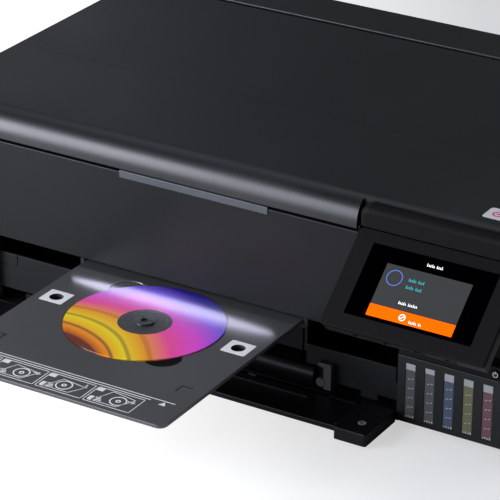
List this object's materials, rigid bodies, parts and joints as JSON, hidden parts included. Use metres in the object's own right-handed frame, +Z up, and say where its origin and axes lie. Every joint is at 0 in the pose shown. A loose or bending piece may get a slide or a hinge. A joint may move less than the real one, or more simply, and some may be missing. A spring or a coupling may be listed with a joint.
{
  "type": "disc label printer",
  "caption": "Low wide desktop ink-jet printer with a disc tray out at the front, tilting control panel, ink tanks, paper cassettes and a scanner under the lid.",
  "frame": {"origin": "middle of the body's footprint, in the plane under the feet", "axes": "+X to the printer's right as seen from the front, +Y to its back, +Z up"},
  "size_m": [0.523, 0.5672, 0.169],
  "materials": {
    "dark_plastic": "fine-textured matte black",
    "fascia_plastic": "charcoal, satin",
    "trim_plastic": "grey, satin",
    "panel_gloss": "black, glossy",
    "inner_plastic": "dark grey, moulded",
    "cassette_plastic": "mid-dark grey, moulded",
    "lever_plastic": "mid grey, moulded",
    "tray_plastic": "dark grey, semi-gloss",
    "disc_face": "printed, satin",
    "screen_glass": "dark screen, glossy",
    "clear_glass": "clear",
    "window_plastic": "translucent grey",
    "ink_black": "black ink behind clear plastic",
    "ink_grey": "grey ink behind clear plastic",
    "ink_cyan": "blue ink behind clear plastic",
    "ink_yellow": "yellow ink behind clear plastic",
    "ink_magenta": "magenta ink behind clear plastic",
    "white_foam": "white, soft sheet",
    "rubber_foot": "matte black",
    "belt_rubber": "matte black",
    "steel_sheet": "zinc-plated",
    "steel_shaft": "polished",
    "motor_steel": "satin",
    "board_green": "lacquered circuit board",
    "port_metal": "bright sheet",
    "white_plastic": "off-white"
  },
  "bodies": {
    "body": {"base_pan": "dark_plastic", "feet": "rubber_foot", "side_cover_left": "dark_plastic", "side_cover_right": "dark_plastic", "rear_cover": "dark_plastic", "rear_cover_screws": "steel_sheet", "front_panel": "fascia_plastic", "grip_strip": "trim_plastic", "panel_mount": "fascia_plastic", "panel_cap": "dark_plastic", "tank_housing": "dark_plastic", "level_windows": "window_plastic", "tank_caps": "inner_plastic", "chassis": "inner_plastic", "disc_channel": "inner_plastic", "platen": "inner_plastic", "main_frame": "steel_sheet", "carriage_rod": "steel_shaft", "carriage_belt": "belt_rubber", "drive_motors": "motor_steel", "capping_station": "inner_plastic", "power_supply": "dark_plastic", "main_board": "board_green", "rear_ports": "port_metal", "ac_inlet": "panel_gloss", "hinge_brackets": "steel_sheet", "feed_chute": "inner_plastic", "ink_tank_1": "ink_black", "ink_tank_2": "ink_grey", "ink_tank_3": "ink_cyan", "ink_tank_4": "ink_yellow", "ink_tank_5": "ink_magenta", "ink_tank_6": "ink_grey"},
    "button": {"power_button": "trim_plastic"},
    "control_panel": {"panel_bezel": "panel_gloss", "panel_display": "screen_glass", "panel_back": "inner_plastic"},
    "flap": {"front_cover": "cassette_plastic"},
    "lower_cassette": {"cassette_lower": "cassette_plastic", "cassette_grip": "inner_plastic"},
    "guide_left": {"edge_guide_left": "inner_plastic"},
    "guide_right": {"edge_guide_right": "inner_plastic"},
    "lever": {"lock_lever": "lever_plastic"},
    "upper_cassette": {"cassette_upper": "cassette_plastic"},
    "tray": {"disc_tray": "tray_plastic", "optical_disc": "disc_face", "disc_clamp": "lever_plastic"},
    "scanner": {"scanner_frame": "inner_plastic", "scanner_glass": "clear_glass", "scan_rod": "steel_shaft"},
    "scan_carriage": {"scan_bar": "panel_gloss"},
    "lid": {"lid_shell": "dark_plastic", "lid_liner": "inner_plastic", "lid_pad": "white_foam"},
    "feed_lid": {"feed_cover": "dark_plastic"},
    "carriage": {"carriage_body": "dark_plastic", "print_head": "port_metal"},
    "pulley_left": {"belt_pulley_drive": "white_plastic"},
    "pulley_right": {"belt_pulley_idler": "white_plastic"},
    "roller": {"feed_roller": "steel_shaft"}
  },
  "joints": [
    {"name": "disc_tray_slide", "type": "slide", "parent": "body", "child": "tray", "axis": [0, 1, 0], "range_m": [0, 0.165]},
    {"name": "panel_hinge", "type": "hinge", "parent": "body", "child": "control_panel", "pos_m": [0.1885, -0.18858, 0.14285], "axis": [-1, 0, 0], "range_deg": [-49, 0]},
    {"name": "front_cover_hinge", "type": "hinge", "parent": "body", "child": "flap", "pos_m": [0, -0.1865, 0.0042], "axis": [1, 0, 0], "range_deg": [-90, 0]},
    {"name": "lower_cassette_slide", "type": "slide", "parent": "body", "child": "lower_cassette", "axis": [0, -1, 0], "range_m": [0, 0.11]},
    {"name": "edge_guide_left_slide", "type": "slide", "parent": "lower_cassette", "child": "guide_left", "axis": [1, 0, 0], "range_m": [-0.02, 0.05]},
    {"name": "edge_guide_right_slide", "type": "slide", "parent": "lower_cassette", "child": "guide_right", "axis": [1, 0, 0], "range_m": [-0.05, 0.02]},
    {"name": "lock_lever_hinge", "type": "hinge", "parent": "lower_cassette", "child": "lever", "pos_m": [0.0904, -0.1806, 0.0126], "axis": [0, -1, 0], "range_deg": [0, 25]},
    {"name": "upper_cassette_slide", "type": "slide", "parent": "body", "child": "upper_cassette", "axis": [0, -1, 0], "range_m": [0, 0.11]},
    {"name": "scanner_hinge", "type": "hinge", "parent": "body", "child": "scanner", "pos_m": [0, 0.1059, 0.161], "axis": [-1, 0, 0], "range_deg": [0, 30]},
    {"name": "scan_bar_slide", "type": "slide", "parent": "scanner", "child": "scan_carriage", "axis": [1, 0, 0], "range_m": [0, 0.28]},
    {"name": "lid_hinge", "type": "hinge", "parent": "scanner", "child": "lid", "pos_m": [0, 0.1059, 0.161], "axis": [-1, 0, 0], "range_deg": [0, 60]},
    {"name": "feed_cover_hinge", "type": "hinge", "parent": "body", "child": "feed_lid", "pos_m": [0, 0.1588, 0.161], "axis": [-1, 0, 0], "range_deg": [0, 90]},
    {"name": "carriage_slide", "type": "slide", "parent": "body", "child": "carriage", "axis": [-1, 0, 0], "range_m": [0, 0.33]},
    {"name": "drive_pulley_turn", "type": "hinge", "parent": "body", "child": "pulley_left", "pos_m": [-0.226, -0.052, 0.086], "axis": [0, 0, 1], "range_deg": [-2880, 0]},
    {"name": "idler_pulley_turn", "type": "hinge", "parent": "body", "child": "pulley_right", "pos_m": [0.23, -0.052, 0.086], "axis": [0, 0, 1], "range_deg": [-2880, 0]},
    {"name": "feed_roller_turn", "type": "hinge", "parent": "body", "child": "roller", "pos_m": [0, -0.06, 0.0553], "axis": [1, 0, 0], "continuous": true},
    {"name": "power_button_press", "type": "slide", "parent": "body", "child": "button", "axis": [0, 1, 0], "range_m": [0, 0.0012], "stiffness_N_per_m": 250}
  ],
  "couplings": [
    {"joint": "edge_guide_right_slide", "follows": "edge_guide_left_slide", "ratio": -1},
    {"joint": "drive_pulley_turn", "follows": "carriage_slide", "rad_per_m": -151.52},
    {"joint": "idler_pulley_turn", "follows": "carriage_slide", "rad_per_m": -151.52}
  ]
}
